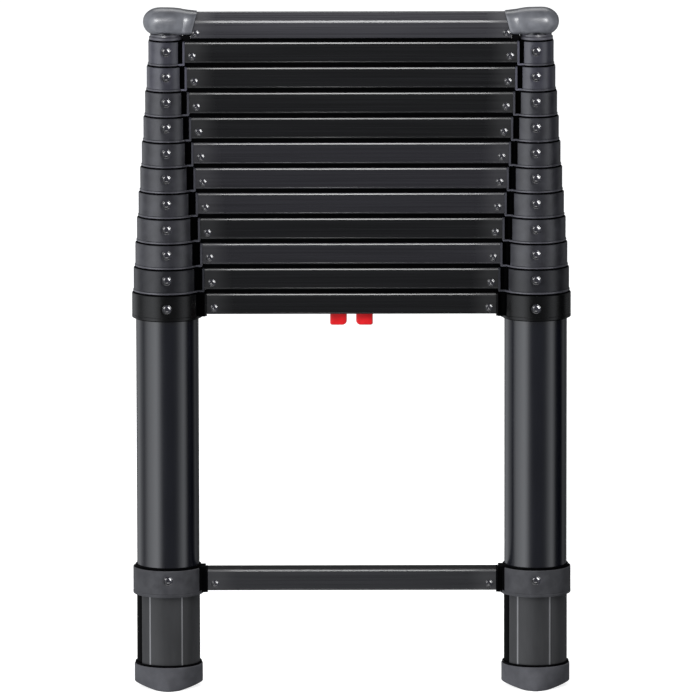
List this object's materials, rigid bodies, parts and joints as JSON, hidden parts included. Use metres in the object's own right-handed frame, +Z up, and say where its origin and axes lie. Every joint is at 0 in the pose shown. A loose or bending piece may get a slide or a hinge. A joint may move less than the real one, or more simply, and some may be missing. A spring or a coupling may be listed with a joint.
{
  "type": "telescoping ladder",
  "caption": "Telescoping ladder, stowed: nested round stiles with moulded collars, stacked hollow rungs, a fixed lower rung, pointed rubber feet and red thumb releases.",
  "frame": {"origin": "on the floor, midway between the two feet", "axes": "+Z up along the stiles, +X to the ladder's right as seen from the front, -Y towards the front"},
  "size_m": [0.4764, 0.084, 0.746],
  "materials": {
    "black_anodised_tube": "glossy black anodised and lacquered aluminium tube with a faint blue cast",
    "anodised_stile": "black anodised tube with a satin dark grey moulded collar",
    "black_anodised_rung": "semi-gloss black anodised extrusion",
    "satin_moulding": "satin dark grey glass-filled moulding",
    "foot_rubber": "matt dark grey moulded rubber",
    "red_trigger": "bright red moulded plastic",
    "bright_steel": "zinc-plated steel",
    "inner_moulding": "black moulded nylon"
  },
  "bodies": {
    "base": {"base_tube_left": "black_anodised_tube", "foot_left": "foot_rubber", "lower_collar_left": "satin_moulding", "base_collar_left": "satin_moulding", "pin_guide_left": "inner_moulding", "release_spring_left": "bright_steel", "base_tube_right": "black_anodised_tube", "foot_right": "foot_rubber", "lower_collar_right": "satin_moulding", "base_collar_right": "satin_moulding", "pin_guide_right": "inner_moulding", "release_spring_right": "bright_steel", "lower_rung": "black_anodised_rung", "base_rung": "black_anodised_rung"},
    "release_left": {"trigger_left": "red_trigger", "lock_pin_left": "bright_steel"},
    "release_right": {"trigger_right": "red_trigger", "lock_pin_right": "bright_steel"},
    "section_01": {"section_01_stile_left": "anodised_stile", "section_01_stile_right": "anodised_stile", "section_01_rung": "black_anodised_rung"},
    "section_02": {"section_02_stile_left": "anodised_stile", "section_02_stile_right": "anodised_stile", "section_02_rung": "black_anodised_rung"},
    "section_03": {"section_03_stile_left": "anodised_stile", "section_03_stile_right": "anodised_stile", "section_03_rung": "black_anodised_rung"},
    "section_04": {"section_04_stile_left": "anodised_stile", "section_04_stile_right": "anodised_stile", "section_04_rung": "black_anodised_rung"},
    "section_05": {"section_05_stile_left": "anodised_stile", "section_05_stile_right": "anodised_stile", "section_05_rung": "black_anodised_rung"},
    "section_06": {"section_06_stile_left": "anodised_stile", "section_06_stile_right": "anodised_stile", "section_06_rung": "black_anodised_rung"},
    "section_07": {"section_07_stile_left": "anodised_stile", "section_07_stile_right": "anodised_stile", "section_07_rung": "black_anodised_rung"},
    "section_08": {"section_08_stile_left": "anodised_stile", "section_08_stile_right": "anodised_stile", "section_08_rung": "black_anodised_rung"},
    "section_09": {"section_09_stile_left": "anodised_stile", "section_09_stile_right": "anodised_stile", "section_09_rung": "black_anodised_rung"},
    "section_10": {"section_10_stile_left": "anodised_stile", "section_10_stile_right": "anodised_stile", "section_10_rung": "black_anodised_rung"},
    "section_11": {"top_tube_left": "black_anodised_tube", "top_cap_left": "satin_moulding", "top_tube_right": "black_anodised_tube", "top_cap_right": "satin_moulding", "top_rung": "black_anodised_rung"}
  },
  "joints": [
    {"name": "section_01_slide", "type": "slide", "parent": "base", "child": "section_01", "axis": [0, 0, 1], "range_m": [0, 0.2773]},
    {"name": "section_02_slide", "type": "slide", "parent": "section_01", "child": "section_02", "axis": [0, 0, 1], "range_m": [0, 0.2773]},
    {"name": "section_03_slide", "type": "slide", "parent": "section_02", "child": "section_03", "axis": [0, 0, 1], "range_m": [0, 0.2773]},
    {"name": "section_04_slide", "type": "slide", "parent": "section_03", "child": "section_04", "axis": [0, 0, 1], "range_m": [0, 0.2773]},
    {"name": "section_05_slide", "type": "slide", "parent": "section_04", "child": "section_05", "axis": [0, 0, 1], "range_m": [0, 0.2773]},
    {"name": "section_06_slide", "type": "slide", "parent": "section_05", "child": "section_06", "axis": [0, 0, 1], "range_m": [0, 0.2773]},
    {"name": "section_07_slide", "type": "slide", "parent": "section_06", "child": "section_07", "axis": [0, 0, 1], "range_m": [0, 0.2773]},
    {"name": "section_08_slide", "type": "slide", "parent": "section_07", "child": "section_08", "axis": [0, 0, 1], "range_m": [0, 0.2773]},
    {"name": "section_09_slide", "type": "slide", "parent": "section_08", "child": "section_09", "axis": [0, 0, 1], "range_m": [0, 0.2773]},
    {"name": "section_10_slide", "type": "slide", "parent": "section_09", "child": "section_10", "axis": [0, 0, 1], "range_m": [0, 0.2773]},
    {"name": "section_11_slide", "type": "slide", "parent": "section_10", "child": "section_11", "axis": [0, 0, 1], "range_m": [0, 0.2773]},
    {"name": "left_release_slide", "type": "slide", "parent": "base", "child": "release_left", "axis": [1, 0, 0], "range_m": [0, 0.004], "stiffness_N_per_m": 600, "springref_m": -0.008, "deforming": ["release_spring_left"]},
    {"name": "right_release_slide", "type": "slide", "parent": "base", "child": "release_right", "axis": [-1, 0, 0], "range_m": [0, 0.004], "stiffness_N_per_m": 600, "springref_m": -0.008, "deforming": ["release_spring_right"]}
  ]
}
